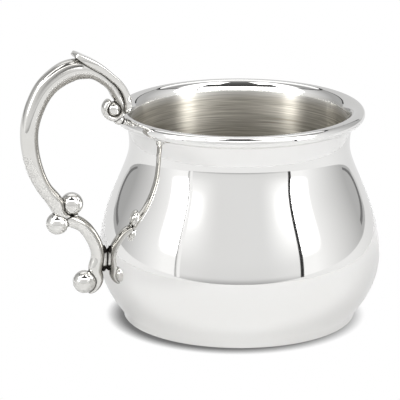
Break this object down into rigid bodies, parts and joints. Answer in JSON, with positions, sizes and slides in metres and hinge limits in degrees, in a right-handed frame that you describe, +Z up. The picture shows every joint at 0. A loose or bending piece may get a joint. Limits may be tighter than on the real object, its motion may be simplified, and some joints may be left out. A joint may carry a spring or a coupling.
{
  "type": "baby cup",
  "caption": "Small pewter cup with a bellied body, drawn-in neck, rolled rim, low base and an open double scroll handle with ball ends.",
  "frame": {"origin": "centre of the base's flat underside, on the cup's axis and on the table", "axes": "+Z up along the cup's axis, +X away from the handle, so the handle is on the -X side and lies in the XZ plane"},
  "size_m": [0.0982, 0.075, 0.0755],
  "materials": {
    "polished_pewter": "mirror-polished pewter",
    "satin_pewter": "satin-brushed inside, mirror-polished outside"
  },
  "bodies": {
    "root": {"cup_body": "satin_pewter", "base": "polished_pewter", "rim_wire": "polished_pewter", "upper_scroll": "polished_pewter", "lower_scroll": "polished_pewter", "thumb_strip": "polished_pewter", "rim_ball": "polished_pewter", "upper_ball": "polished_pewter", "middle_ball": "polished_pewter", "lower_ball": "polished_pewter", "rim_solder": "polished_pewter", "belly_solder": "polished_pewter"}
  },
  "joints": []
}
